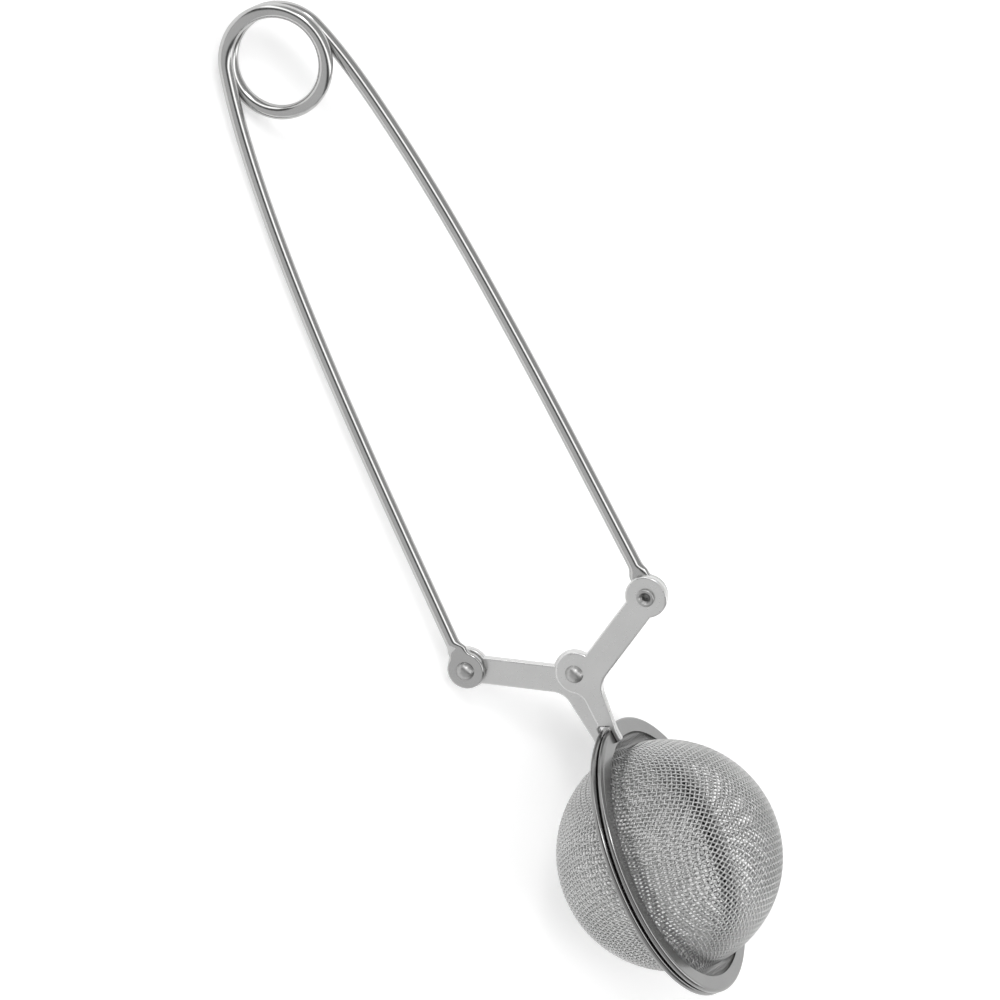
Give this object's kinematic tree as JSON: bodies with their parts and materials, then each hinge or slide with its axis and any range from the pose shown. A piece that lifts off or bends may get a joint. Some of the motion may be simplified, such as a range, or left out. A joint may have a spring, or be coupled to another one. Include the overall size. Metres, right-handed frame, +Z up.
{
  "type": "tea infuser",
  "caption": "Mesh ball tea infuser: two woven half balls on pivoted levers, held shut by a one-piece spring wire handle with a coil at its end.",
  "frame": {"origin": "middle of the bounding box's footprint, on the surface that the closed infuser lies on", "axes": "+X along the length, from the handle's coil towards the ball; +Z up, with the infuser lying on a rim edge, one mesh dome and the coil; the seam between the half balls leans 40 degrees"},
  "size_m": [0.1672, 0.0354, 0.0357],
  "materials": {
    "spring_wire": "drawn stainless spring wire, bright",
    "lever_sheet": "tumbled stainless sheet, satin",
    "rim_sheet": "rolled stainless sheet, satin",
    "woven_mesh": "plain-woven stainless wire cloth",
    "rivet_steel": "polished heads"
  },
  "bodies": {
    "leg_left": {"spring_handle_left": "spring_wire"},
    "leg_right": {"spring_handle_right": "spring_wire"},
    "half_left": {"lever_left": "lever_sheet", "rim_ring_left": "rim_sheet", "mesh_dome_left": "woven_mesh", "rivet_left": "rivet_steel"},
    "half_right": {"lever_right": "lever_sheet", "rim_ring_right": "rim_sheet", "mesh_dome_right": "woven_mesh", "rivet_right": "rivet_steel", "rivet_centre": "rivet_steel"}
  },
  "joints": [
    {"name": "left_rivet", "type": "hinge", "parent": "leg_left", "child": "half_left", "pos_m": [0.02258, -0.0124, 0.00392], "axis": [-0.0688, -0.6428, 0.763], "range_deg": [-27.48, 0.3]},
    {"name": "centre_pivot", "type": "hinge", "parent": "half_left", "child": "half_right", "pos_m": [0.02852, 0, 0.0149], "axis": [-0.0688, -0.6428, 0.763], "range_deg": [0, 50]},
    {"name": "coil_spring", "type": "hinge", "parent": "leg_left", "child": "leg_right", "pos_m": [-0.07466, 0.00123, 0.00663], "axis": [-0.0688, -0.6428, 0.763], "range_deg": [-5.17, 0.2], "stiffness_Nm_per_rad": 3, "springref_deg": 2.86}
  ],
  "couplings": [
    {"joint": "left_rivet", "follows": "centre_pivot", "ratio": -0.5435},
    {"joint": "coil_spring", "follows": "centre_pivot", "ratio": -0.0994}
  ]
}
